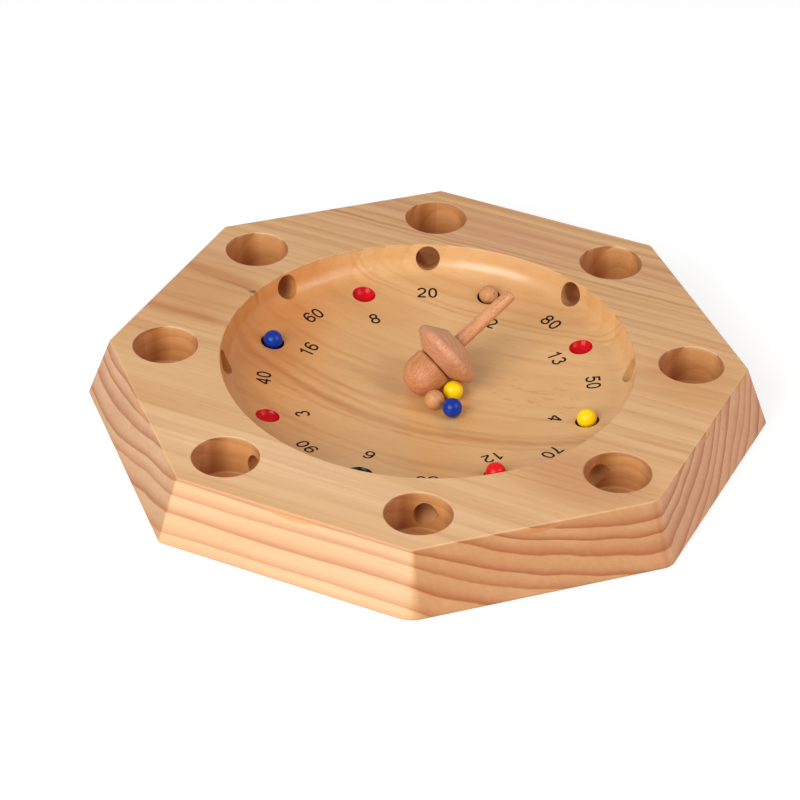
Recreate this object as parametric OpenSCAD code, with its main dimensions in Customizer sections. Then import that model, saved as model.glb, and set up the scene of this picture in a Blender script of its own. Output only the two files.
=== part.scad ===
// Tyrolean roulette: a solid octagonal wooden board with a dished bowl, eight
// scoring wells, eight sloping tunnels that lead to eight corner cups, a small
// turned spinning top and seven wooden balls. Millimetres, +Z up. The origin is
// the centre of the board's underside.

/* [Board] */
// Distance across the flats of the underside
across_flats = 322.6; // [316:0.2:330]
// Thickness of the board
board_t = 33.4; // [31:0.2:36]
// How far each bevelled side leans inward from bottom to top
side_lean = 11.5; // [9:0.1:13]
// Radius of the upright corners, seen from above
corner_r = 2.6; // [1.5:0.1:5]
// Radius of the one corner that is sanded rounder
soft_corner_r = 7.5; // [3:0.5:10]
// Rounding of the near corner (270 degrees) at its foot, where it's sanded rounder than above, mm
near_foot_r = 14; // [3:1:18]
// Radius of the round-over along the bottom edge
bottom_edge_r = 1.2; // [0.6:0.1:3]
// Radius of the round-over along the top edge
top_edge_r = 1.1; // [0.6:0.1:2]

/* [Bowl] */
// Radius of the bowl at the top face
bowl_r = 105.3; // [102:0.1:107]
// Depth of the bowl at its centre
bowl_depth = 23.7; // [20:0.1:25]
// Radius of curvature of the bowl's floor
floor_curve_r = 497; // [460:1:600]
// Lean of the bowl's wall from upright, in degrees
wall_lean = 14; // [10:1:18]
// Radius of the hollow curve where the wall meets the floor
fillet_r = 11; // [8:0.5:13]
// Radius of the round-over at the bowl's rim
rim_edge_r = 0.7; // [0.4:0.1:1.0]

/* [Corner cups] */
// Radius of the cups
cup_r = 16.5; // [15:0.1:17.5]
// Distance of the cups' centres from the middle of the board
cup_ring_r = 133.4; // [131:0.1:135]
// Depth of the cups
cup_depth = 21.4; // [20.8:0.1:24]
// How far the ring of cups is turned from the corners, in degrees
cup_turn = 0.7; // [0:0.1:1.5]

/* [Tunnels] */
// Radius of the tunnels
tunnel_r = 6.5; // [5.8:0.1:6.6]
// Depth of a tunnel's axis at the bowl wall
tunnel_in_z = 7.5; // [7.4:0.1:8.4]
// Depth of a tunnel's axis at the cup wall
tunnel_out_z = 12.9; // [12.5:0.1:13.2]
// How far the routed pattern in the bowl is turned from the corners, in degrees
pattern_turn = 2.5; // [0:0.1:4]

/* [Scoring wells] */
// Distance of the wells from the middle of the board
well_ring_r = 86.6; // [84:0.1:88]
// Radius of the ball-nosed cutter that makes the wells
well_cut_r = 6.9; // [6.3:0.1:7.2]
// Depth of the wells
well_depth = 3.8; // [3:0.1:4.2]

/* [Balls] */
// Diameter of the balls
ball_d = 10.1; // [9.5:0.1:10.2]
// Air left under a resting ball
ball_gap = 0.15; // [0.1:0.05:0.3]

/* [Spinning top] */
// Radius of the round knob that the top spins on
knob_r = 10.9; // [10:0.1:11]
// Height of the knob, up to the disc
knob_h = 18.6; // [17:0.1:20]
// Largest radius of the disc
disc_r = 19.1; // [18.4:0.1:19.3]
// Thickness of the disc
disc_t = 16; // [14:0.1:17]
// Radius of the stem
stem_r = 3.75; // [3:0.05:4]
// Radius of the stem's slightly thinner free end
stem_end_r = 3.35; // [3:0.05:3.7]
// Length of stem that stands above the disc
stem_above = 37; // [30:1:40]
// Depth of the stem's blind hole in the knob
stem_socket = 12; // [8:0.5:14]
// Lean of the resting top from upright, in degrees
top_lean = 57; // [55:0.5:58]
// Direction in which the resting top's stem points, in degrees
top_turn = 33.3; // [31:0.1:35]

/* [Hidden] */
$fn = 96;

pine = [0.86, 0.70, 0.50];
beech = [0.80, 0.53, 0.34];
red = [0.78, 0.05, 0.08];
blue = [0.06, 0.18, 0.62];
yellow = [0.97, 0.80, 0.12];

// The corners lie on the axes and their diagonals; the soft one is at -45.
corner_a = [for (i = [0:7]) i * 45];
function corner_radius(a) = a == 315 ? soft_corner_r : corner_r;
function foot_radius(a) = a == 270 ? near_foot_r : corner_radius(a);

// The sloping side face, seen in section: it leans by side_a from upright.
side_a = atan(side_lean / board_t);
foot_x = across_flats / 2 - bottom_edge_r * (1 + sin(side_a)) / cos(side_a);
head_x = across_flats / 2 - (board_t - top_edge_r) * tan(side_a) - top_edge_r / cos(side_a);

// The bowl's section, measured from the top face. The wall runs down and in
// from the rim, a hollow curve turns it into the floor, and the floor is part
// of a large sphere whose centre is floor_c above the top face.
floor_c = floor_curve_r - bowl_depth;
function floor_z(r) = floor_c - sqrt(floor_curve_r * floor_curve_r - r * r);
wall_u = [-sin(wall_lean), -cos(wall_lean)];
wall_n = [-cos(wall_lean), sin(wall_lean)];
p0 = [bowl_r, 0] + fillet_r * wall_n - [0, floor_c];
along = -(p0 * wall_u) + sqrt(pow(p0 * wall_u, 2) - p0 * p0 + pow(floor_curve_r - fillet_r, 2));
fillet_c = [bowl_r, 0] + fillet_r * wall_n + along * wall_u;
// angle of the floor's tangent point about the fillet's centre
fillet_a0 = atan2(fillet_c[1] - floor_c, fillet_c[0]);
fillet_a1 = -wall_lean;
floor_end_r = fillet_c[0] * floor_curve_r / (floor_curve_r - fillet_r);
rim_along = rim_edge_r * (1 - sin(wall_lean)) / cos(wall_lean);
rim_c = [bowl_r, 0] + rim_along * wall_u - rim_edge_r * wall_n;
bowl_section = concat(
    [for (i = [0:18]) let (r = floor_end_r * i / 18) [r, floor_z(r)]],
    [for (i = [1:12]) let (a = fillet_a0 + (fillet_a1 - fillet_a0) * i / 12)
        fillet_c + fillet_r * [cos(a), sin(a)]],
    [for (i = [0:5]) let (a = 180 - wall_lean - (90 - wall_lean) * i / 5)
        rim_c + rim_edge_r * [cos(a), sin(a)]],
    [[rim_c[0], 3], [0, 3]]);

cup_floor_r = 1.2;
cup_rim_r = 0.7;
cup_section = concat(
    [[0, -cup_depth]],
    [for (i = [0:5]) let (a = -90 + 90 * i / 5)
        [cup_r - cup_floor_r + cup_floor_r * cos(a), -cup_depth + cup_floor_r + cup_floor_r * sin(a)]],
    [for (i = [0:5]) let (a = 180 - 90 * i / 5)
        [cup_r + cup_rim_r + cup_rim_r * cos(a), -cup_rim_r + cup_rim_r * sin(a)]],
    [[cup_r + cup_rim_r, 3], [0, 3]]);

// A tunnel's axis falls from the bowl wall to the near wall of its cup. Two
// of the tunnels are drilled a little to one side.
function drilled_off(a) = a == 45 ? -2 : a == 135 ? 1 : 0;
tunnel_in_r = bowl_r - tunnel_in_z * tan(wall_lean) + 0.4;
tunnel_out_r = cup_ring_r - cup_r;
tunnel_fall = atan((tunnel_out_z - tunnel_in_z) / (tunnel_out_r - tunnel_in_r));
tunnel_start = 11;
tunnel_run = (tunnel_out_r - tunnel_in_r) / cos(tunnel_fall) + tunnel_start + 2.4;

// The wells that hold a ball, and where the balls stand
well_tilt = asin(well_ring_r / floor_curve_r);
well_lift = well_cut_r - well_depth;
ball_r = ball_d / 2;
ball_in_well_lift = ball_r + ball_gap - well_depth;
// Centres of the loose balls, seen from above
natural_xy = [4.3, -13.3];
yellow_xy = [13.6, -4.5];
blue_xy = [13.7, -20.4];
loose_lift = ball_r + ball_gap;

// The top stands with its knob's centre here, above the bowl's floor
knob_xy = [-1.5, 0.65];
knob_gap = 0.2;

// Sections of the top's turned pieces: radius, height above the knob's foot
knob_top_r = 1.5;
// a narrow slot is left between knob and disc, round a smaller seat
slot_h = 0.6;
seat_r = 7.4;
knob_section = concat(
    [for (i = [0:20]) let (a = -90 + 90 * i / 20) [knob_r * cos(a), knob_r + knob_r * sin(a)]],
    [for (i = [0:6]) let (a = 90 * i / 6)
        [knob_r - knob_top_r + knob_top_r * cos(a), knob_h - slot_h - knob_top_r + knob_top_r * sin(a)]],
    [[seat_r, knob_h - slot_h], [seat_r, knob_h], [0, knob_h]]);
disc_foot_r = 10.7;
disc_head_r = 9.7;
disc_rim_r = 3.2;
disc_rim_h = 7.5;
disc_rim_c = [disc_r - disc_rim_r, disc_rim_h];
// angles at which straight flanks from the foot and the head touch the rim curve
function flank_a(p, side) = let (d = p - disc_rim_c, q = sqrt(d * d))
    atan2(d[1], d[0]) + side * acos(disc_rim_r / q);
disc_low_a = flank_a([disc_foot_r, 0.5], 1);
disc_high_a = flank_a([disc_head_r, disc_t - 0.4], -1);
disc_section = concat(
    [[0, 0], [disc_foot_r - 0.6, 0], [disc_foot_r, 0.5]],
    [for (i = [0:14]) let (a = disc_low_a + (disc_high_a - disc_low_a) * i / 14)
        disc_rim_c + disc_rim_r * [cos(a), sin(a)]],
    [[disc_head_r, disc_t - 0.4], [disc_head_r - 0.8, disc_t], [0, disc_t]]);
stem_foot_z = knob_h - stem_socket;
stem_len = stem_socket + disc_t + stem_above;
stem_tip_r = 1.8;
stem_section = concat(
    [[0, 0], [stem_r - 0.6, 0], [stem_r, 0.6], [stem_r, stem_socket + disc_t]],
    [for (i = [0:8]) let (a = 90 * i / 8)
        [stem_end_r - stem_tip_r + stem_tip_r * cos(a), stem_len - stem_tip_r + stem_tip_r * sin(a)]],
    [[0, stem_len]]);

// Puts its children on the bowl's floor at an angle and a distance from the
// middle, square to the floor and lift above it.
module on_floor(a, r, lift) {
    translate([0, 0, board_t + floor_c])
        rotate([0, -asin(r / floor_curve_r), a])
            translate([0, 0, -(floor_curve_r - lift)])
                children();
}

// The octagonal block with every edge and corner rounded
module board_block() {
    hull() {
        for (a = corner_a) {
            m = corner_radius(a);
            rotate([0, 0, a]) {
                translate([(foot_x - foot_radius(a)) / cos(22.5), 0, bottom_edge_r])
                    rotate_extrude($fn = a == 270 ? 96 : 48) translate([foot_radius(a), 0]) circle(r = bottom_edge_r, $fn = 32);
                translate([(head_x - m) / cos(22.5), 0, board_t - top_edge_r])
                    rotate_extrude($fn = 48) translate([m, 0]) circle(r = top_edge_r, $fn = 32);
            }
        }
    }
}

module tunnel(a) {
    rotate([0, 0, a])
        translate([tunnel_in_r, 0, board_t - tunnel_in_z])
            rotate([0, 90 + tunnel_fall, 0])
                translate([0, 0, -tunnel_start])
                    cylinder(r = tunnel_r, h = tunnel_run);
}

module board() color(pine) {
    difference() {
        board_block();
        translate([0, 0, board_t]) rotate_extrude($fn = 192) polygon(bowl_section);
        for (a = corner_a) {
            rotate([0, 0, a + cup_turn])
                translate([cup_ring_r, 0, board_t]) rotate_extrude() polygon(cup_section);
            tunnel(a + pattern_turn + drilled_off(a));
            on_floor(a + 22.5 + pattern_turn + 0.4, well_ring_r, well_lift)
                sphere(r = well_cut_r);
        }
    }
}

module place_top() {
    translate([knob_xy[0], knob_xy[1], board_t + floor_z(norm(knob_xy)) + knob_r + knob_gap])
        rotate([0, top_lean, top_turn])
            translate([0, 0, -knob_r])
                children();
}

module top_stem() color(beech) place_top()
    translate([0, 0, stem_foot_z]) rotate_extrude() polygon(stem_section);

module top_disc() color(beech) place_top()
    difference() {
        translate([0, 0, knob_h]) rotate_extrude() polygon(disc_section);
        translate([0, 0, knob_h - 1]) cylinder(r = stem_r, h = disc_t + 2);
    }

module top_knob() color(beech) place_top()
    difference() {
        rotate_extrude() polygon(knob_section);
        translate([0, 0, stem_foot_z - 0.5]) cylinder(r = stem_r, h = stem_socket + 1.5);
    }

module ball() sphere(r = ball_r);

module ball_in_well(a) on_floor(a + pattern_turn + 0.4, well_ring_r, ball_in_well_lift) ball();

module loose_ball(xy) translate([xy[0], xy[1], board_t + floor_z(norm(xy)) + loose_lift]) ball();

module ball_natural_in_well_2() color(beech) ball_in_well(67.5);
module ball_yellow_in_well_4() color(yellow) ball_in_well(-22.5);
module ball_red_in_well_12() color(red) ball_in_well(-67.5);
module ball_blue_in_well_16() color(blue) ball_in_well(157.5);
module ball_natural_loose() color(beech) loose_ball(natural_xy);
module ball_yellow_loose() color(yellow) loose_ball(yellow_xy);
module ball_blue_loose() color(blue) loose_ball(blue_xy);

board();
top_stem();
top_disc();
top_knob();
ball_natural_in_well_2();
ball_yellow_in_well_4();
ball_red_in_well_12();
ball_blue_in_well_16();
ball_natural_loose();
ball_yellow_loose();
ball_blue_loose();
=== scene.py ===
import math

import bmesh
import bpy
from mathutils import Matrix, Vector


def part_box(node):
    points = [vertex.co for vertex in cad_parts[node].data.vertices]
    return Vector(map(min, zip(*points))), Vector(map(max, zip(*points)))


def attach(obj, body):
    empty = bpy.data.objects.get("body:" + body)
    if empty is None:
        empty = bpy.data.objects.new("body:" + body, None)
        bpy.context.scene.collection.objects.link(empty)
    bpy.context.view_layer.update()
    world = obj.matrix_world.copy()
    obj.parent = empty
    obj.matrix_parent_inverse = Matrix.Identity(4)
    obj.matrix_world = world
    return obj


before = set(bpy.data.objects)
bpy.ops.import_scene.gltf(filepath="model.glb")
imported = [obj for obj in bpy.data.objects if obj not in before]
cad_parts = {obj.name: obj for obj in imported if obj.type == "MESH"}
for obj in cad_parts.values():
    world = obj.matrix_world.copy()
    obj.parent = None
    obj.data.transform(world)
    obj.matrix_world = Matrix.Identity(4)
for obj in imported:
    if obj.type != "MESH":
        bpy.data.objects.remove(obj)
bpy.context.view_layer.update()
MM = 0.001

# ---------------------------------------------------------------- sizes (mm)
TOP_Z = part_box("board")[1][2] * 1000    # the board's top face
FLOOR_R = 497.0          # radius of curvature of the bowl's floor
BOWL_DEPTH = 23.7
FLOOR_C = TOP_Z - BOWL_DEPTH + FLOOR_R
RIM_R = 105.3
GRAIN_DEG = -22.5        # direction of the grain, seen from above
WELL_RING = 86.6
WELL_R = 6.9
WELL_DEPTH = 3.8
WELL_TURN = 2.9
TOP_LEAN, TOP_TURN = 57.0, 33.3
KNOB = (-1.5, 0.65, FLOOR_C - math.sqrt(FLOOR_R ** 2 - 1.5 ** 2 - 0.65 ** 2) + 10.9 + 0.2)


def floor_z(r):
    return FLOOR_C - math.sqrt(FLOOR_R * FLOOR_R - r * r)


# ---------------------------------------------------------------- node helper
class Tree:
    """Short calls for building a node material."""

    def __init__(self, name):
        self.mat = bpy.data.materials.new(name)
        self.mat.use_nodes = True
        self.nt = self.mat.node_tree
        self.nt.nodes.clear()
        self.out = self.nt.nodes.new("ShaderNodeOutputMaterial")
        self.bsdf = self.nt.nodes.new("ShaderNodeBsdfPrincipled")
        self.nt.links.new(self.bsdf.outputs[0], self.out.inputs[0])
        self.tc = self.nt.nodes.new("ShaderNodeTexCoord")

    def put(self, sock, v):
        if isinstance(v, bpy.types.NodeSocket):
            self.nt.links.new(v, sock)
        elif v is not None:
            sock.default_value = v

    def m(self, op, a, b=None, c=None, clamp=False):
        n = self.nt.nodes.new("ShaderNodeMath")
        n.operation = op
        n.use_clamp = clamp
        for i, v in enumerate((a, b, c)):
            if v is not None:
                self.put(n.inputs[i], v)
        return n.outputs[0]

    def v(self, op, a, b=None, scale=None):
        n = self.nt.nodes.new("ShaderNodeVectorMath")
        n.operation = op
        self.put(n.inputs[0], a)
        if b is not None:
            self.put(n.inputs[1], b)
        if scale is not None:
            self.put(n.inputs["Scale"], scale)
        return n.outputs["Value"] if op in ("DOT_PRODUCT", "LENGTH", "DISTANCE") else n.outputs[0]

    def mapping(self, vec, loc=(0, 0, 0), rot=(0, 0, 0), scale=(1, 1, 1), kind="POINT"):
        n = self.nt.nodes.new("ShaderNodeMapping")
        n.vector_type = kind
        self.put(n.inputs["Vector"], vec)
        n.inputs["Location"].default_value = loc
        n.inputs["Rotation"].default_value = rot
        n.inputs["Scale"].default_value = scale
        return n.outputs[0]

    def xyz(self, vec):
        n = self.nt.nodes.new("ShaderNodeSeparateXYZ")
        self.put(n.inputs[0], vec)
        return n.outputs[0], n.outputs[1], n.outputs[2]

    def join(self, x, y, z):
        n = self.nt.nodes.new("ShaderNodeCombineXYZ")
        for i, v in enumerate((x, y, z)):
            self.put(n.inputs[i], v)
        return n.outputs[0]

    def noise(self, vec, scale=1.0, detail=2.0, rough=0.5, dist=0.0, w=None, colour=False):
        n = self.nt.nodes.new("ShaderNodeTexNoise")
        if w is not None:
            n.noise_dimensions = "4D"
            n.inputs["W"].default_value = w
        self.put(n.inputs["Vector"], vec)
        n.inputs["Scale"].default_value = scale
        n.inputs["Detail"].default_value = detail
        n.inputs["Roughness"].default_value = rough
        n.inputs["Distortion"].default_value = dist
        return n.outputs[1] if colour else n.outputs[0]

    def voronoi(self, vec, scale=1.0, feature="F1"):
        n = self.nt.nodes.new("ShaderNodeTexVoronoi")
        n.feature = feature
        self.put(n.inputs["Vector"], vec)
        n.inputs["Scale"].default_value = scale
        return n.outputs["Distance"]

    def rng(self, v, a, b, c=0.0, d=1.0, smooth=False):
        n = self.nt.nodes.new("ShaderNodeMapRange")
        n.clamp = True
        n.interpolation_type = "SMOOTHSTEP" if smooth else "LINEAR"
        for i, x in enumerate((v, a, b, c, d)):
            self.put(n.inputs[i], x)
        return n.outputs[0]

    def mix(self, f, a, b, kind="MIX"):
        n = self.nt.nodes.new("ShaderNodeMix")
        n.data_type = "RGBA"
        n.blend_type = kind
        n.clamp_factor = True
        self.put(n.inputs[0], f)
        self.put(n.inputs[6], a)
        self.put(n.inputs[7], b)
        return n.outputs[2]

    def ramp(self, f, stops):
        n = self.nt.nodes.new("ShaderNodeValToRGB")
        self.put(n.inputs[0], f)
        e = n.color_ramp.elements
        e[0].position, e[0].color = stops[0]
        e[1].position, e[1].color = stops[-1]
        for p, c in stops[1:-1]:
            k = e.new(p)
            k.color = c
        return n.outputs[0]

    def bump(self, h, strength, dist, normal=None):
        n = self.nt.nodes.new("ShaderNodeBump")
        n.inputs["Strength"].default_value = strength
        n.inputs["Distance"].default_value = dist
        self.put(n.inputs["Height"], h)
        if normal is not None:
            self.put(n.inputs["Normal"], normal)
        return n.outputs[0]

    def set(self, **k):
        names = {"color": "Base Color", "rough": "Roughness", "normal": "Normal", "coat": "Coat Weight",
                 "coat_rough": "Coat Roughness", "ior": "IOR", "spec": "Specular IOR Level",
                 "sss": "Subsurface Weight", "sss_scale": "Subsurface Scale", "sss_radius": "Subsurface Radius",
                 "sheen": "Sheen Weight", "aniso": "Anisotropic", "coat_normal": "Coat Normal"}
        for a, b in k.items():
            self.put(self.bsdf.inputs[names[a]], b)
        return self.mat


def srgb(r, g, b, a=1.0):
    f = lambda c: c / 12.92 if c <= 0.04045 else ((c + 0.055) / 1.055) ** 2.4
    return (f(r / 255), f(g / 255), f(b / 255), a)


EARLY_A, EARLY_B, EARLY_C = srgb(224, 180, 131), srgb(215, 168, 117), srgb(205, 155, 104)
LATE_A, LATE_B = srgb(182, 121, 70), srgb(168, 104, 54)
RING_TOP, RING_BOWL, RING_SIDE = 0.34, 0.22, 1.05

# ---------------------------------------------------------------- the board's pine
# streaks seen on the top face, across y at x = 0 in grain coordinates (mm):
# (y, rise per mm, from x, to x, half width, strength)
TOP_STREAKS = (
    (146.0, 0.000, -80, 80, 2.2, 0.30), (138.5, 0.004, -90, 90, 1.4, 0.20), (130.5, -0.006, -90, 110, 3.4, 0.50),
    (121.5, -0.010, -100, 120, 3.0, 0.50), (116.0, -0.012, -40, 130, 1.3, 0.45), (111.5, 0.006, -125, -5, 0.9, 0.55),
    (109.0, -0.004, -70, 135, 0.8, 0.55), (105.4, 0.012, -125, 30, 1.2, 0.75), (101.6, 0.008, -118, 140, 0.8, 0.55),
    (97.5, 0.010, -130, 150, 0.6, 0.30), (92.5, 0.000, -140, 150, 1.1, 0.25), (83.0, 0.006, -145, 150, 0.8, 0.22),
    (72.0, 0.000, -150, 150, 1.4, 0.22), (35.0, -0.015, -160, -104, 3.0, 0.42), (27.0, 0.000, -160, -104, 1.0, 0.25),
    (22.5, 0.150, 104, 138, 2.6, 0.70), (12.0, 0.120, 112, 150, 1.2, 0.40), (22.0, 0.020, 104, 160, 1.5, 0.25), (8.0, 0.000, 104, 160, 1.2, 0.22),
    (-19.5, 0.000, 118, 165, 1.6, 0.55), (-30.0, 0.01, 100, 160, 1.0, 0.25), (-20.5, 0.012, -165, -104, 3.8, 0.72),
    (-13.0, 0.000, -165, -104, 1.0, 0.35), (-33.0, 0.000, -165, -104, 0.8, 0.30), (-44.0, 0.010, -165, -104, 0.9, 0.36),
    (-57.0, 0.02, 72, 140, 0.8, 0.42), (-61.5, 0.02, 85, 150, 0.6, 0.40), (-66.0, 0.02, 76, 142, 0.8, 0.45),
    (-70.5, 0.02, 80, 135, 0.6, 0.40), (-76.0, 0.02, 70, 128, 0.7, 0.36), (-88.0, -0.01, -110, 110, 1.6, 0.16),
    (-112.0, 0.00, -100, 100, 1.8, 0.22), (-121.0, 0.00, -90, 90, 1.2, 0.18), (-133.0, 0.00, -80, 80, 1.6, 0.26),
    (-143.0, 0.00, -70, 70, 1.0, 0.22),
)
# curved bands in the bowl: (y at the lowest point, x there, bend per mm squared, from x, to x, half width, strength)
BOWL_BANDS = (
    (-34.0, -4, 0.00215, -104, 104, 2.6, 0.66), (-40.5, -6, 0.00200, -96, 96, 1.2, 0.34), (-26.0, 4, 0.00200, -104, 104, 1.4, 0.34),
    (-17.0, -10, 0.00170, -104, 20, 1.6, 0.34), (-62.0, 6, 0.00120, -80, 84, 1.8, 0.30), (-70.0, 20, 0.00110, -50, 70, 1.2, 0.22),
    (-4.0, 20, 0.00120, 10, 104, 1.2, 0.26), (9.0, -20, 0.00110, -104, -30, 1.5, 0.36), (26.0, -30, 0.00090, -104, -40, 1.2, 0.28),
    (46.0, 0, 0.00060, -92, 96, 1.4, 0.16), (68.5, 0, 0.00030, -80, 80, 0.7, 0.40), (72.5, 0, 0.00020, -76, 76, 0.6, 0.36),
    (80.0, 0, 0.00010, -60, 66, 1.2, 0.26), (90.0, 0, 0.00000, -50, 52, 1.0, 0.26),
)

# (x, y, reach along x, reach along y, colour, strength, on the top face)
PATCHES = (
    (0, -124, 130, 34, srgb(240, 204, 164), 0.26, True), (112, -62, 46, 28, srgb(190, 128, 82), 0.58, True),
    (-132, 2, 40, 36, srgb(190, 126, 74), 0.42, True), (126, 42, 34, 30, srgb(206, 142, 84), 0.46, True),
    (0, 122, 120, 19, srgb(204, 148, 114), 0.42, True), (-128, 44, 30, 14, srgb(214, 166, 130), 0.35, True),
    (-60, 52, 40, 20, srgb(190, 126, 68), 0.42, False), (-88, 0, 26, 60, srgb(186, 112, 54), 0.42, False),
    (8, -54, 62, 14, srgb(198, 132, 74), 0.32, False), (40, -14, 60, 12, srgb(214, 154, 92), 0.26, False),
    (10, 20, 70, 26, srgb(232, 186, 136), 0.30, False), (80, 30, 26, 40, srgb(236, 190, 142), 0.24, False),
    (18, 86, 66, 16, srgb(206, 142, 86), 0.42, False),
)


def pine():
    t = Tree("pine_lacquered")
    p = t.v("SCALE", t.tc.outputs["Object"], scale=1000.0)           # millimetres
    px, py, pz = t.xyz(p)
    q = t.mapping(p, rot=(0, 0, math.radians(-GRAIN_DEG)))           # x along the grain
    qx, qy, qz = t.xyz(q)
    # slow waves that bend the rings along the plank
    wob = t.noise(t.mapping(q, scale=(0.0045, 0.018, 0.018)), 1.0, 2.0, 0.5, colour=True)
    wob = t.v("SCALE", t.v("SUBTRACT", wob, (0.5, 0.5, 0.5)), scale=13.0)
    wob2 = t.noise(t.mapping(q, scale=(0.02, 0.16, 0.16)), 1.0, 2.0, 0.6, colour=True)
    wob2 = t.v("SCALE", t.v("SUBTRACT", wob2, (0.5, 0.5, 0.5)), scale=0.9)
    s = t.v("ADD", t.v("ADD", q, wob), wob2)
    sx, sy, sz = t.xyz(s)
    # the plank tapers a little out of the tree's own axis along its length
    ay = t.m("ADD", sy, 70.0)
    az = t.m("SUBTRACT", t.m("ADD", sz, t.m("MULTIPLY", sx, 0.012)), TOP_Z + 98.0)
    r = t.m("SQRT", t.m("ADD", t.m("MULTIPLY", ay, ay), t.m("MULTIPLY", az, az)))
    # rings of uneven width
    rw = t.noise(t.join(t.m("MULTIPLY", r, 0.055), 3.1, 0.7), 1.0, 2.0, 0.5)
    rr = t.m("ADD", r, t.m("MULTIPLY", t.m("SUBTRACT", rw, 0.5), 9.0))
    ring = t.m("DIVIDE", rr, 8.0)
    f = t.m("FRACT", ring)
    idx = t.m("FLOOR", ring)
    late = t.m("MULTIPLY", t.m("POWER", f, 2.2), t.rng(f, 0.92, 1.0, 1.0, 0.0))
    each = t.noise(t.join(t.m("MULTIPLY", idx, 7.31), 0.2, 0.4), 1.0, 0.0)
    late = t.m("MULTIPLY", late, t.rng(each, 0.3, 0.7, 0.70, 1.30))
    # which way the surface faces: the sides show end grain, the top and the bowl don't
    nrm = t.nt.nodes.new("ShaderNodeNewGeometry").outputs["Normal"]
    g = (math.cos(math.radians(GRAIN_DEG)), math.sin(math.radians(GRAIN_DEG)), 0.0)
    along = t.v("DOT_PRODUCT", nrm, g)
    end = t.rng(t.m("ABSOLUTE", along), 0.25, 1.0, 0.0, 1.0, smooth=True)
    nx, ny, nz = t.xyz(nrm)
    rad = t.m("SQRT", t.m("ADD", t.m("MULTIPLY", px, px), t.m("MULTIPLY", py, py)))
    inb = t.m("MULTIPLY", t.m("LESS_THAN", rad, RIM_R + 0.25), t.rng(pz, TOP_Z - 0.8, TOP_Z - 0.1, 1.0, 0.0))
    inb = t.m("MULTIPLY", inb, t.m("GREATER_THAN", pz, 7.0))
    flat = t.m("MULTIPLY", t.rng(pz, TOP_Z - 0.9, TOP_Z - 0.2, 0.0, 1.0), t.rng(nz, 0.6, 0.9, 0.0, 1.0))
    side = t.m("SUBTRACT", 1.0, t.m("MAXIMUM", inb, flat))
    # the drilled cups and tunnels: fainter rings inside them, and painted shade that darkens and warms their walls
    cup = t.m("MULTIPLY", t.m("GREATER_THAN", rad, RIM_R + 1.0), t.m("LESS_THAN", rad, 151.0))
    cup = t.m("MULTIPLY", cup, t.m("MULTIPLY", t.rng(pz, TOP_Z - 2.2, TOP_Z - 0.6, 1.0, 0.0), t.m("GREATER_THAN", pz, 1.5)))
    # fibres and small pores
    fib = t.noise(t.mapping(q, scale=(0.035, 1.9, 1.9)), 1.0, 4.0, 0.6)
    fib2 = t.noise(t.mapping(q, scale=(0.012, 0.42, 0.42)), 1.0, 3.0, 0.55)
    broad = t.noise(t.mapping(q, scale=(0.006, 0.045, 0.045)), 1.0, 3.0, 0.55)
    blotch = t.noise(t.mapping(q, scale=(0.018, 0.045, 0.045)), 1.0, 3.0, 0.6, w=7.0)
    dash = t.noise(t.mapping(q, scale=(0.13, 2.3, 2.3)), 1.0, 1.0, 0.4, w=4.0)
    dash = t.m("MULTIPLY", t.rng(dash, 0.70, 0.76, 0.0, 1.0, smooth=True), t.m("SUBTRACT", 1.0, end))
    pore = t.voronoi(t.mapping(q, scale=(0.08, 1.15, 1.15)), 1.0)
    pore = t.m("MULTIPLY", t.rng(pore, 0.10, 0.22, 1.0, 0.0), end)
    # streaks of this plank, with wavering edges
    wav = t.noise(t.mapping(q, scale=(0.020, 0.05, 0.05)), 1.0, 3.0, 0.6, w=1.5)
    wy = t.m("ADD", qy, t.m("MULTIPLY", t.m("SUBTRACT", wav, 0.5), 7.0))
    soft = t.rng(fib2, 0.25, 0.75, 0.55, 1.25)

    def line(d, x0, x1, half, k):
        a = t.rng(t.m("ABSOLUTE", d), 0.0, half * 1.7, 1.0, 0.0, smooth=True)
        a = t.m("MULTIPLY", a, t.rng(qx, x0 - 12, x0 + 12, 0.0, k))
        return t.m("MULTIPLY", a, t.rng(qx, x1 - 12, x1 + 12, 1.0, 0.0))

    streak = None
    for y0, rise, x0, x1, half, k in TOP_STREAKS:
        d = t.m("SUBTRACT", wy, t.m("MULTIPLY_ADD", qx, rise, y0))
        a = line(d, x0, x1, half, k)
        streak = a if streak is None else t.m("MAXIMUM", streak, a)
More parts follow.
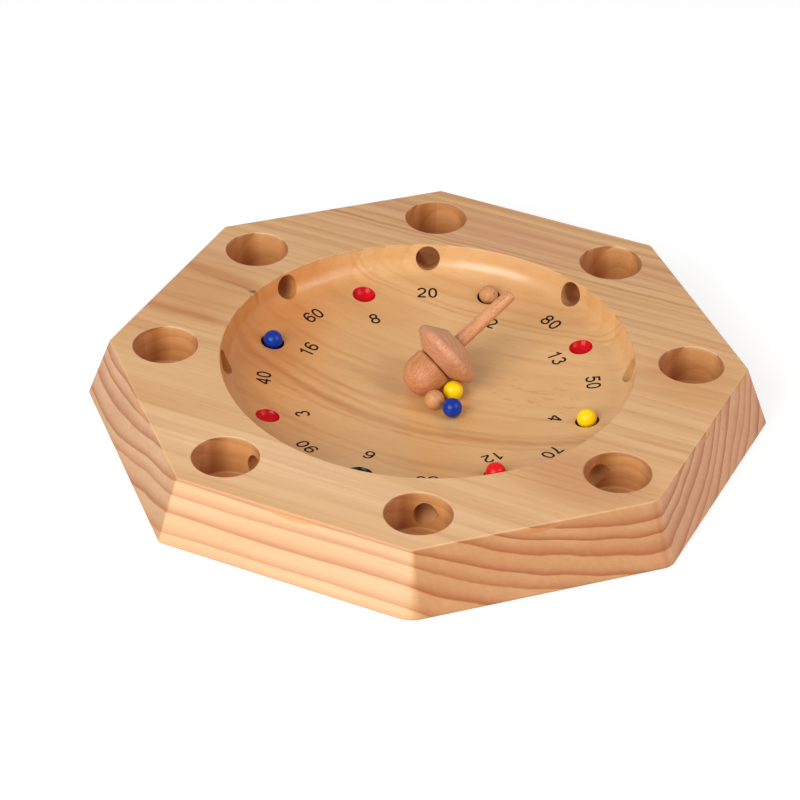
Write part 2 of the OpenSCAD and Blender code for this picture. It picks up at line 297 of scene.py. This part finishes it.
    # a small knot on the rim, with the dark line that runs into it
    kd = t.v("DISTANCE", t.mapping(q, scale=(0.62, 1.0, 0.0)), (-106.0 * 0.62, 11.4, 0.0))
    knot = t.m("MULTIPLY", t.rng(kd, 0.4, 2.4, 1.0, 0.0, smooth=True), 1.0)
    kl = t.m("SUBTRACT", wy, t.m("MULTIPLY_ADD", qx, -0.13, -2.2))
    kl = t.m("MULTIPLY", t.rng(t.m("ABSOLUTE", kl), 0.0, 1.5, 1.0, 0.0, smooth=True), t.rng(qx, -108, -102, 1.0, 0.0))
    wide = t.m("SUBTRACT", wy, t.m("MULTIPLY_ADD", qx, -0.13, 1.2))
    wide = t.m("MULTIPLY", t.rng(t.m("ABSOLUTE", wide), 0.5, 7.5, 0.62, 0.0, smooth=True), t.rng(qx, -112, -98, 1.0, 0.0))
    streak = t.m("MAXIMUM", streak, wide)
    knot = t.m("MAXIMUM", knot, t.m("MULTIPLY", kl, t.rng(qx, -150, -106, 0.10, 0.5)))
    streak = t.m("MULTIPLY", t.m("MULTIPLY", streak, soft), flat)
    knot = t.m("MULTIPLY", knot, t.m("SUBTRACT", 1.0, side))
    curved = None
    wyb = t.m("ADD", wy, t.m("MULTIPLY", t.m("SUBTRACT", blotch, 0.5), 6.0))
    for y0, xm, bend, x0, x1, half, k in BOWL_BANDS:
        dx = t.m("SUBTRACT", qx, xm)
        d = t.m("SUBTRACT", wyb, t.m("MULTIPLY_ADD", t.m("MULTIPLY", dx, dx), bend, y0))
        a = line(d, x0, x1, half * 1.15, k)
        curved = a if curved is None else t.m("MAXIMUM", curved, a)
    curved = t.m("MULTIPLY", t.m("MULTIPLY", curved, soft), inb)
    # colours
    early = t.mix(t.rng(broad, 0.35, 0.65), EARLY_A, EARLY_B)
    early = t.mix(t.m("MULTIPLY", t.rng(fib2, 0.35, 0.7), 0.45), early, EARLY_C)
    latec = t.mix(t.rng(fib2, 0.3, 0.7), LATE_A, LATE_B)
    latec = t.mix(t.m("MULTIPLY", side, 0.75), latec, srgb(178, 104, 46))
    amount = t.m("ADD", t.m("MULTIPLY", flat, RING_TOP), t.m("ADD", t.m("MULTIPLY", inb, RING_BOWL), t.m("MULTIPLY", t.m("SUBTRACT", side, t.m("MULTIPLY", cup, 0.72)), RING_SIDE)))
    c = t.mix(t.m("MULTIPLY", late, amount, clamp=True), early, latec)
    c = t.mix(streak, c, srgb(182, 110, 60))
    c = t.mix(curved, c, srgb(176, 98, 40))
    c = t.mix(t.m("MULTIPLY", t.rng(fib, 0.5, 0.85), 0.26), c, srgb(168, 112, 68))
    c = t.mix(t.m("MULTIPLY", dash, 0.42), c, srgb(104, 60, 34))
    c = t.mix(t.m("MULTIPLY", pore, 0.22), c, srgb(120, 72, 46))
    c = t.mix(knot, c, srgb(104, 56, 34))
    for cx, cy, ax, ay_, col, k, where in PATCHES:
        dd = t.v("LENGTH", t.v("MULTIPLY", t.v("SUBTRACT", t.join(qx, wy, 0.0), (cx, cy, 0.0)), (1.0 / ax, 1.0 / ay_, 0.0)))
        dd = t.m("ADD", dd, t.m("MULTIPLY", t.m("SUBTRACT", broad, 0.5), 0.8))
        c = t.mix(t.m("MULTIPLY", t.rng(dd, 0.35, 1.15, k, 0.0, smooth=True), flat if where else inb), c, col)
    ripple = t.noise(t.mapping(q, scale=(0.09, 0.34, 0.34)), 1.0, 2.0, 0.6, w=9.0)
    ripple = t.rng(ripple, 0.56, 0.66, 0.0, 1.0, smooth=True)
    near = t.v("LENGTH", t.v("MULTIPLY", t.v("SUBTRACT", t.join(qx, qy, 0.0), (50.0, 18.0, 0.0)), (1 / 36.0, 1 / 22.0, 0.0)))
    near2 = t.v("LENGTH", t.v("MULTIPLY", t.v("SUBTRACT", t.join(qx, qy, 0.0), (-2.0, -38.0, 0.0)), (1 / 30.0, 1 / 11.0, 0.0)))
    spot = t.m("MAXIMUM", t.rng(near, 0.5, 1.1, 1.0, 0.12, smooth=True), t.rng(near2, 0.5, 1.1, 1.0, 0.12, smooth=True))
    c = t.mix(t.m("MULTIPLY", t.m("MULTIPLY", ripple, inb), t.m("MULTIPLY", spot, 0.42)), c, srgb(184, 112, 60))
    # long-grain sides are the palest
    c = t.mix(t.m("MULTIPLY", t.m("MULTIPLY", side, t.m("SUBTRACT", 1.0, cup)), t.rng(t.m("ABSOLUTE", along), 0.2, 0.5, 0.20, 0.0)), c, srgb(206, 172, 146))
    # blotches where the turned floor cuts across the fibres
    mott = t.m("MULTIPLY", t.rng(blotch, 0.52, 0.72, 0.0, 1.0, smooth=True), inb)
    c = t.mix(t.m("MULTIPLY", mott, 0.30), c, srgb(182, 118, 66))
    # the sides: warm where they run one way across the grain, pinkish the other way
    c = t.mix(t.m("MULTIPLY", t.rng(along, 0.35, 0.72, 0.0, 1.0), t.m("MULTIPLY", side, t.rng(along, 0.8, 0.92, 0.85, 0.0))), c,
              t.mix(1.0, c, srgb(208, 178, 154), "MULTIPLY"))
    c = t.mix(t.m("MULTIPLY", t.rng(along, 0.80, 0.95, 0.0, 1.0), t.m("MULTIPLY", side, 0.9)), c,
              t.mix(1.0, c, srgb(228, 206, 208), "MULTIPLY"))
    c = t.mix(t.m("MULTIPLY", t.rng(along, -0.72, -0.35, 1.0, 0.0), t.m("MULTIPLY", side, 0.9)), c,
              t.mix(1.0, c, srgb(211, 203, 207), "MULTIPLY"))
    # the turned bowl takes a warmer, glossier coat; its left half is painted darker and more orange, partly the wood's
    # own tone and partly painted shade of the left wall
    c = t.mix(t.m("MULTIPLY", inb, 0.14), c, srgb(244, 200, 150))
    c = t.mix(t.m("MULTIPLY", inb, 0.7), c, t.mix(1.0, c, srgb(255, 247, 222), "MULTIPLY"))
    # painted shade mixed with wood tone: the bowl's left half darker and more orange
    left = t.m("MULTIPLY", t.rng(t.m("ADD", px, t.m("MULTIPLY", blotch, 40.0)), -70.0, 0.0, 1.0, 0.0, smooth=True), inb)
    c = t.mix(t.m("MULTIPLY", left, 0.80), c, t.mix(1.0, c, srgb(248, 212, 158), "MULTIPLY"))
    # painted shade: the insides of the cups are made darker and warmer
    c = t.mix(t.m("MULTIPLY", cup, 0.9), c, t.mix(1.0, c, srgb(250, 226, 196), "MULTIPLY"))
    rough = t.m("SUBTRACT", t.m("ADD", 0.46, t.m("MULTIPLY", fib2, 0.10)), t.m("MULTIPLY", inb, 0.16))
    rough = t.m("ADD", rough, t.m("MULTIPLY", end, 0.08))
    h = t.m("ADD", t.m("MULTIPLY", fib, 0.6), t.m("MULTIPLY", late, t.m("MULTIPLY", flat, 0.25)))
    h = t.m("SUBTRACT", h, t.m("ADD", t.m("MULTIPLY", dash, 0.8), t.m("MULTIPLY", pore, 0.5)))
    nb = t.bump(h, 0.30, 0.0001)
    return t.set(color=c, rough=rough, normal=nb, spec=0.42, coat=t.m("MULTIPLY_ADD", inb, 0.34, 0.10), coat_rough=0.17)


# ---------------------------------------------------------------- turned beech
def beech(name, base, dark, fleck=1.0):
    t = Tree(name)
    p = t.v("SCALE", t.tc.outputs["Object"], scale=1000.0)
    q = t.mapping(p, loc=KNOB, rot=(0, math.radians(TOP_LEAN), math.radians(TOP_TURN)), kind="TEXTURE")
    # the grain runs along the stem
    wav = t.noise(t.mapping(q, scale=(0.10, 0.10, 0.02)), 1.0, 2.0, 0.5, colour=True)
    s = t.v("ADD", q, t.v("SCALE", t.v("SUBTRACT", wav, (0.5, 0.5, 0.5)), scale=3.0))
    sx, sy, sz = t.xyz(s)
    d = t.m("ADD", sx, t.m("MULTIPLY", sy, 0.25))
    f = t.m("FRACT", t.m("DIVIDE", d, 3.4))
    ring = t.m("POWER", f, 2.0)
    fib = t.noise(t.mapping(q, scale=(1.6, 1.6, 0.09)), 1.0, 4.0, 0.6)
    blot = t.noise(t.mapping(q, scale=(0.12, 0.12, 0.05)), 1.0, 2.0, 0.5)
    fl = t.noise(t.mapping(q, scale=(3.2, 3.2, 0.62)), 1.0, 1.0, 0.4, w=2.0)
    fl = t.rng(fl, 0.57, 0.66, 0.0, 1.0, smooth=True)
    fine = t.noise(t.mapping(q, scale=(2.6, 2.6, 0.35)), 1.0, 3.0, 0.65, w=6.0)
    c = t.mix(t.m("MULTIPLY", ring, 0.45), base, dark)
    c = t.mix(t.m("MULTIPLY", t.rng(fine, 0.48, 0.72), 0.55), c, dark)
    c = t.mix(t.m("MULTIPLY", t.rng(fine, 0.50, 0.28), 0.35), c, srgb(232, 176, 134))
    c = t.mix(t.m("MULTIPLY", t.rng(fib, 0.42, 0.72), 0.65), c, dark)
    c = t.mix(t.m("MULTIPLY", t.rng(blot, 0.35, 0.7), 0.30), c, srgb(222, 164, 120))
    c = t.mix(t.m("MULTIPLY", fl, 0.45 * fleck), c, srgb(128, 70, 40))
    # fine lathe rings across the axis
    lx, ly, lz = t.xyz(q)
    lathe = t.noise(t.join(0.0, 0.0, t.m("MULTIPLY", lz, 3.1)), 1.0, 2.0, 0.6)
    h = t.m("SUBTRACT", t.m("ADD", t.m("MULTIPLY", fib, 0.5), t.m("MULTIPLY", lathe, 0.6)), fl)
    rough = t.m("ADD", 0.42, t.m("MULTIPLY", fib, 0.14))
    return t.set(color=c, rough=rough, normal=t.bump(h, 0.35, 0.0001), spec=0.40, coat=0.08, coat_rough=0.3)


# ---------------------------------------------------------------- balls
def ball_paint(name, centre, base, deep, seed, grain=True):
    t = Tree(name)
    p = t.v("SCALE", t.v("SUBTRACT", t.tc.outputs["Object"], tuple(centre)), scale=1000.0)
    q = t.mapping(p, rot=(0.5 + seed, 0.9 * seed, 0.3))
    orange = t.noise(q, 1.3, 3.0, 0.55, w=seed)
    peel = t.noise(q, 4.5, 2.0, 0.5, w=seed + 3.0)
    grainy = t.noise(t.mapping(q, scale=(0.18, 1.9, 1.9)), 1.0, 3.0, 0.55, w=seed)
    c = t.mix(t.rng(orange, 0.3, 0.72), base, deep)
    # paint is thinner where the wood's grain stands up
    c = t.mix(t.m("MULTIPLY", t.rng(grainy, 0.62, 0.8), 0.22), c, deep)
    h = t.m("ADD", t.m("MULTIPLY", grainy, 0.8), t.m("MULTIPLY", peel, 0.3))
    rough = t.m("ADD", 0.24, t.m("MULTIPLY", orange, 0.12))
    return t.set(color=c, rough=rough, normal=t.bump(h, 0.20, 0.0001), spec=0.24, coat=0.10, coat_rough=0.12)


def ball_wood(name, centre, seed, pore_dir):
    t = Tree(name)
    p = t.v("SCALE", t.v("SUBTRACT", t.tc.outputs["Object"], tuple(centre)), scale=1000.0)
    q = t.mapping(p, rot=(0.4 + seed, 0.35, 1.1 * seed))
    fib = t.noise(t.mapping(q, scale=(0.16, 1.5, 1.5)), 1.0, 4.0, 0.6, w=seed)
    x, y, z = t.xyz(q)
    f = t.m("FRACT", t.m("DIVIDE", t.m("ADD", y, t.m("MULTIPLY", fib, 1.2)), 2.6))
    fl = t.rng(t.noise(t.mapping(q, scale=(0.9, 4.0, 4.0)), 1.0, 1.0, 0.4, w=seed + 1.0), 0.64, 0.71, 0.0, 1.0, smooth=True)
    c = t.mix(t.m("MULTIPLY", f, 0.45), srgb(210, 150, 100), srgb(178, 112, 64))
    c = t.mix(t.m("MULTIPLY", t.rng(fib, 0.45, 0.8), 0.4), c, srgb(150, 86, 48))
    c = t.mix(t.m("MULTIPLY", fl, 0.4), c, srgb(112, 62, 34))
    # one small dark pore
    d = t.v("DISTANCE", p, tuple(4.95 * k for k in pore_dir))
    hole = t.rng(d, 0.35, 0.62, 1.0, 0.0, smooth=True)
    c = t.mix(t.m("MULTIPLY", hole, 0.85), c, srgb(58, 34, 22))
    h = t.m("SUBTRACT", t.m("MULTIPLY", fib, 0.7), t.m("ADD", hole, fl))
    return t.set(color=c, rough=t.m("ADD", 0.40, t.m("MULTIPLY", fib, 0.12)), normal=t.bump(h, 0.35, 0.00015),
                 spec=0.42, coat=0.12, coat_rough=0.25)


# ---------------------------------------------------------------- paint in the wells, and ink
def well_paint(name, base, deep, seed):
    t = Tree(name)
    p = t.v("SCALE", t.tc.outputs["Object"], scale=1000.0)
    n1 = t.noise(p, 0.6, 3.0, 0.55, w=seed)
    n2 = t.noise(p, 2.6, 2.0, 0.5, w=seed + 2.0)
    c = t.mix(t.rng(n1, 0.3, 0.72), base, deep)
    rough = t.m("ADD", 0.26, t.m("MULTIPLY", n1, 0.12))
    return t.set(color=c, rough=rough, normal=t.bump(t.m("ADD", n2, n1), 0.05, 0.00006), spec=0.10, coat=0.22,
                 coat_rough=0.03)


def ink():
    t = Tree("ink_black")
    p = t.v("SCALE", t.tc.outputs["Object"], scale=1000.0)
    q = t.mapping(p, rot=(0, 0, math.radians(-GRAIN_DEG)))
    n1 = t.noise(t.mapping(q, scale=(0.25, 2.2, 2.2)), 1.0, 3.0, 0.6)
    n2 = t.noise(p, 0.4, 1.0, 0.5)
    c = t.mix(t.rng(n1, 0.4, 0.8), srgb(18, 11, 9), srgb(44, 26, 18))
    c = t.mix(t.m("MULTIPLY", t.rng(n2, 0.4, 0.7), 0.3), c, srgb(28, 16, 12))
    return t.set(color=c, rough=t.m("ADD", 0.55, t.m("MULTIPLY", n1, 0.14)), normal=t.bump(n1, 0.2, 0.00006), spec=0.22)


# ---------------------------------------------------------------- numbers, drawn as even strokes
def arc(cx, cy, rx, ry, a0, a1, n=22, power=2.0):
    pts = []
    for i in range(n + 1):
        a = math.radians(a0 + (a1 - a0) * i / n)
        c, s = math.cos(a), math.sin(a)
        k = 2.0 / power
        pts.append((cx + rx * math.copysign(abs(c) ** k, c), cy + ry * math.copysign(abs(s) ** k, s)))
    return pts


def smooth_line(pts, n=8):
    """Catmull-Rom through the points."""
    out = []
    e = [pts[0]] + list(pts) + [pts[-1]]
    for i in range(1, len(e) - 2):
        for j in range(n):
            u = j / n
            row = []
            for k in range(2):
                a, b, c, d = e[i - 1][k], e[i][k], e[i + 1][k], e[i + 2][k]
                row.append(0.5 * (2 * b + (c - a) * u + (2 * a - 5 * b + 4 * c - d) * u * u
                                  + (3 * b - a - 3 * c + d) * u ** 3))
            out.append(tuple(row))
    out.append(pts[-1])
    return out


STROKE = 0.148
W = STROKE / 2
# each digit: (closed, centre line) in units of the digit's height, inside a cell 0.66 wide
DIGITS = {
    "0": [(True, arc(0.33, 0.5, 0.33 - W - 0.012, 0.5 - W, 0, 360, 48, 2.25)[:-1])],
    "1": [(False, [(0.415, 0.0), (0.415, 0.985)]),
          (False, smooth_line([(0.43, 0.955), (0.35, 0.86), (0.25, 0.785), (0.14, 0.735)]))],
    "2": [(False, arc(0.335, 0.70, 0.245, 0.238, 172, 0, 20)
           + smooth_line([(0.58, 0.70), (0.545, 0.58), (0.45, 0.46), (0.30, 0.325), (0.175, 0.205), (0.12, 0.125), (0.098, W)])[1:]),
          (False, [(0.045, W), (0.615, W)])],
    "3": [(False, arc(0.315, 0.735, 0.215, 0.205, 168, -62, 20) + arc(0.315, 0.298, 0.255, 0.237, 62, -168, 24))],
    "4": [(False, [(0.475, 0.0), (0.475, 0.985)]), (False, [(0.50, 0.965), (0.05, 0.31)]), (False, [(0.02, 0.29), (0.645, 0.29)])],
    "5": [(False, [(0.165, 1 - W), (0.60, 1 - W)]), (False, [(0.185, 0.985), (0.105, 0.475)]),
          (False, arc(0.325, 0.332, 0.255, 0.27, 136, -165, 28))],
    "6": [(True, arc(0.335, 0.318, 0.255, 0.257, 0, 360, 36)[:-1]),
          (False, smooth_line([(0.575, 0.76), (0.515, 0.89), (0.37, 0.94), (0.215, 0.885), (0.115, 0.74), (0.078, 0.52), (0.082, 0.33)]))],
    "7": [(False, [(0.045, 1 - W), (0.62, 1 - W)]),
          (False, smooth_line([(0.59, 0.93), (0.455, 0.745), (0.345, 0.51), (0.275, 0.26), (0.25, 0.0)]))],
    "8": [(True, arc(0.33, 0.738, 0.215, 0.202, 0, 360, 32)[:-1]), (True, arc(0.33, 0.297, 0.258, 0.236, 0, 360, 36)[:-1])],
}
DIGITS["9"] = [(k, [(0.66 - x, 1 - y) for x, y in pts]) for k, pts in DIGITS["6"]]
ADVANCE = 0.775


def ribbon(pts, closed, half):
    """Left and right edges of a line of even width."""
    n = len(pts)
    left, right = [], []
    for i in range(n):
        a = pts[(i - 1) % n] if closed or i else pts[0]
        c = pts[(i + 1) % n] if closed or i < n - 1 else pts[-1]
        b = pts[i]
        d1 = Vector((b[0] - a[0], b[1] - a[1]))
        d2 = Vector((c[0] - b[0], c[1] - b[1]))
        if d1.length < 1e-9:
            d1 = d2
        if d2.length < 1e-9:
            d2 = d1
        d = (d1.normalized() + d2.normalized()).normalized()
        nrm = Vector((-d.y, d.x))
        k = half / max(0.5, nrm.dot(Vector((-d1.normalized().y, d1.normalized().x))))
        left.append((b[0] + nrm.x * k, b[1] + nrm.y * k))
        right.append((b[0] - nrm.x * k, b[1] - nrm.y * k))
    return left, right


def dense(pts, closed, step):
    out = []
    n = len(pts)
    for i in range(n if closed else n - 1):
        a, b = pts[i], pts[(i + 1) % n]
        k = max(1, int(math.hypot(b[0] - a[0], b[1] - a[1]) / step))
        out += [(a[0] + (b[0] - a[0]) * j / k, a[1] + (b[1] - a[1]) * j / k) for j in range(k)]
    if not closed:
        out.append(pts[-1])
    return out


def number(text, ang, rad, height=7.6, turn=0.0, lift=0.035):
    bm = bmesh.new()
    a = math.radians(ang)
    er, et = Vector((math.cos(a), math.sin(a))), Vector((math.sin(a), -math.cos(a)))
    if turn:
        k = Matrix.Rotation(math.radians(turn), 2)
        er, et = k @ er, k @ et
    mid = Vector((math.cos(a), math.sin(a))) * rad
    width = (ADVANCE * (len(text) - 1) + 0.66) * height

    def place(u, v):
        xy = mid + et * (u * height - width / 2) + er * ((v - 0.5) * height)
        return bm.verts.new((xy.x * MM, xy.y * MM, (floor_z(xy.length) + lift) * MM))

    for i, ch in enumerate(text):
        for closed, pts in DIGITS[ch]:
            pts = dense([(x + i * ADVANCE, y) for x, y in pts], closed, 0.09)
            left, right = ribbon(pts, closed, W)
            lv, rv = [place(*p) for p in left], [place(*p) for p in right]
            n = len(pts)
            for j in range(n if closed else n - 1):
                k = (j + 1) % n
                bm.faces.new((rv[j], rv[k], lv[k], lv[j]))
    me = bpy.data.meshes.new("number_" + text)
    bm.to_mesh(me)
    bm.free()
    o = bpy.data.objects.new("number_" + text, me)
    bpy.context.collection.objects.link(o)
    for f in me.polygons:
        f.use_smooth = True
    me.materials.append(INK)
    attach(o, "board")
    return o


# ---------------------------------------------------------------- paint that lies in a well
def well(name, ang, mat):
    a = math.radians(ang + WELL_TURN)
    tilt = math.asin(WELL_RING / FLOOR_R)
    out = Vector((math.cos(a) * math.sin(tilt), math.sin(a) * math.sin(tilt), -math.cos(tilt)))   # down, square to the floor
    c = out * (FLOOR_R - (WELL_R - WELL_DEPTH)) + Vector((0, 0, FLOOR_C))
    e1 = out.cross(Vector((0, 0, 1))).normalized()
    e2 = out.cross(e1)
    rad = WELL_R - 0.12
    rim = math.acos((WELL_R - WELL_DEPTH) / WELL_R)
    bm = bmesh.new()
    rows = []
    N, M = 64, 16
    for i in range(1, M + 1):
        row = []
        for j in range(N):
            b = 2 * math.pi * j / N
            # the brushed edge isn't a perfect circle
            edge = rim - 0.006 + 0.008 * math.sin(2 * b + ang) + 0.005 * math.sin(5 * b + 2 * ang)
            th = edge * i / M
            v = c + (out * math.cos(th) + (e1 * math.cos(b) + e2 * math.sin(b)) * math.sin(th)) * rad
            row.append(bm.verts.new(v * MM))
        rows.append(row)
    pole = bm.verts.new((c + out * rad) * MM)
    for j in range(N):
        k = (j + 1) % N
        bm.faces.new((pole, rows[0][j], rows[0][k]))
        for i in range(M - 1):
            bm.faces.new((rows[i][j], rows[i + 1][j], rows[i + 1][k], rows[i][k]))
    bm.normal_update()
    bm.faces.ensure_lookup_table()
    if bm.faces[0].normal.dot(out) > 0:
        bmesh.ops.reverse_faces(bm, faces=bm.faces[:])
    me = bpy.data.meshes.new(name)
    bm.to_mesh(me)
    bm.free()
    for f in me.polygons:
        f.use_smooth = True
    o = bpy.data.objects.new(name, me)
    bpy.context.collection.objects.link(o)
    me.materials.append(mat)
    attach(o, "board")
    return o


# ---------------------------------------------------------------- give the CAD nodes their finish
def finish_node(node, mat):
    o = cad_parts[node]
    if not o.material_slots:
        o.data.materials.append(mat)
    for s in o.material_slots:
        s.material = mat
    return o


def even_normals(o):
    m = o.modifiers.new("even", "WEIGHTED_NORMAL")
    m.keep_sharp = True
    m.weight = 80
    m.mode = "FACE_AREA_WITH_ANGLE"


finish_node("board", pine())
for n, light, dark in (("top_stem", srgb(214, 150, 102), srgb(172, 104, 60)), ("top_disc", srgb(212, 150, 112), srgb(170, 100, 62)),
                       ("top_knob", srgb(208, 138, 88), srgb(162, 90, 48))):
    finish_node(n, beech("beech_" + n[4:], light, dark))

BALLS = {
    "ball_natural_in_well_2": ("wood", 1.0), "ball_natural_loose": ("wood", 2.3),
    "ball_yellow_in_well_4": ("yellow", 3.1), "ball_yellow_loose": ("yellow", 4.7),
    "ball_red_in_well_12": ("red", 5.2),
    "ball_blue_in_well_16": ("blue", 6.6), "ball_blue_loose": ("blue", 7.9),
}
PAINTS = {
    "yellow": (srgb(255, 216, 8), srgb(248, 196, 0)),
    "red": (srgb(240, 8, 18), srgb(214, 2, 12)),
    "blue": (srgb(0, 56, 164), srgb(0, 36, 124)),
}
for n, (kind, seed) in BALLS.items():
    lo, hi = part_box(n)
    mid = [(a + b) / 2 for a, b in zip(lo, hi)]
    if kind == "wood":
        pore = (0.60, -0.62, 0.51) if n.endswith("2") else (0.2, 0.7, -0.68)
        finish_node(n, ball_wood("wood_" + n, mid, seed, pore))
    else:
        finish_node(n, ball_paint("paint_" + n, mid, *PAINTS[kind], seed))

RED = well_paint("well_red", srgb(208, 4, 18), srgb(182, 0, 12), 1.0)
BLACK = well_paint("well_black", srgb(20, 20, 26), srgb(10, 10, 14), 2.0)
INK = ink()
for name, ang, mat in (("8", 112.5, RED), ("2", 67.5, BLACK), ("13", 22.5, RED), ("4", -22.5, BLACK),
                       ("12", -67.5, RED), ("6", -112.5, BLACK), ("3", -157.5, RED), ("16", 157.5, BLACK)):
    well("well_paint_" + name, ang, mat)

for text, ang, rad in (("20", 92.55, 83.4), ("60", 137.95, 84.1), ("80", 43.52, 86.3), ("50", 3.88, 84.9),
                       ("70", -41.66, 86.2), ("90", -132.69, 83.5), ("40", -177.72, 83.4), ("30", -87.42, 84.6),
                       ("8", 116.96, 67.0), ("16", 156.02, 68.7), ("13", 24.16, 72.3), ("4", -20.17, 70.1),
                       ("12", -59.55, 69.8), ("6", -112.34, 67.6), ("3", -153.83, 68.3), ("2", 62.3, 67.8)):
    number(text, ang, rad)

# ---------------------------------------------------------------- floor, light, camera
floor_me = bpy.data.meshes.new("floor")
floor_me.from_pydata([(-6, -6, -0.0002), (6, -6, -0.0002), (6, 6, -0.0002), (-6, 6, -0.0002)], [], [(0, 1, 2, 3)])
floor = bpy.data.objects.new("floor", floor_me)
bpy.context.collection.objects.link(floor)
fm = Tree("floor_white")
fm.set(color=(0.42, 0.42, 0.42, 1), rough=0.9, spec=0.05)
fm.bsdf.inputs["Emission Color"].default_value = (1, 1, 1, 1)
fm.bsdf.inputs["Emission Strength"].default_value = 0.66
floor_me.materials.append(fm.mat)

# a low pale backdrop, so that level views don't look past the floor's edge
ring_n = 96
pts = [(5.9 * math.cos(2 * math.pi * i / ring_n), 5.9 * math.sin(2 * math.pi * i / ring_n), z)
       for z in (-0.0002, 0.85) for i in range(ring_n)]
back_me = bpy.data.meshes.new("backdrop")
back_me.from_pydata(pts, [], [(i, ring_n + i, ring_n + (i + 1) % ring_n, (i + 1) % ring_n) for i in range(ring_n)])
backdrop = bpy.data.objects.new("backdrop", back_me)
bpy.context.collection.objects.link(backdrop)
bm_ = Tree("backdrop_white")
bm_.set(color=(0.2, 0.2, 0.2, 1), rough=0.9, spec=0.0)
bm_.bsdf.inputs["Emission Color"].default_value = (1, 1, 1, 1)
bm_.bsdf.inputs["Emission Strength"].default_value = 0.80
back_me.materials.append(bm_.mat)

world = bpy.data.worlds.new("studio")
bpy.context.scene.world = world
world.use_nodes = True
bg = world.node_tree.nodes["Background"]
bg.inputs[0].default_value = (1.0, 1.0, 1.0, 1)
bg.inputs[1].default_value = 0.40


def area(name, loc, aim, size, power, size_y=None):
    li = bpy.data.lights.new(name, "AREA")
    li.energy = power
    li.size = size
    if size_y:
        li.shape = "RECTANGLE"
        li.size_y = size_y
    o = bpy.data.objects.new(name, li)
    bpy.context.collection.objects.link(o)
    o.location = loc
    o.rotation_mode = "QUATERNION"
    o.rotation_quaternion = (Vector(aim) - Vector(loc)).to_track_quat("-Z", "Y")
    return o


def toward(d, dist):
    return tuple(Vector(d).normalized() * dist)


area("key", toward((-0.5, -0.7, 0.55), 1.35), (0, 0, 0), 0.9, 16.3)
area("fill", toward((0.75, -0.3, 0.6), 1.4), (0, 0, 0), 1.0, 6.4)
area("strip", toward((0.74, -0.115, 0.67), 1.3), (0, 0, 0), 0.22, 0.8, 0.5)

cam_data = bpy.data.cameras.new("camera")
cam = bpy.data.objects.new("camera", cam_data)
bpy.context.collection.objects.link(cam)
cam_data.sensor_width = 36.0
cam_data.lens = 132.77
cam_data.clip_start, cam_data.clip_end = 0.05, 50.0
R = Matrix(((0.99841955, -0.0458521, 0.03249608), (0.05288367, 0.5708401, -0.81935639), (0.01901915, 0.81977995, 0.57236274)))
cam.matrix_world = Matrix.Translation((0.03554, -1.23889, 0.83656 + TOP_Z * MM)) @ R.to_4x4()
bpy.context.scene.camera = cam
bpy.context.scene.view_settings.view_transform = "Standard"
bpy.context.scene.view_settings.look = "None"
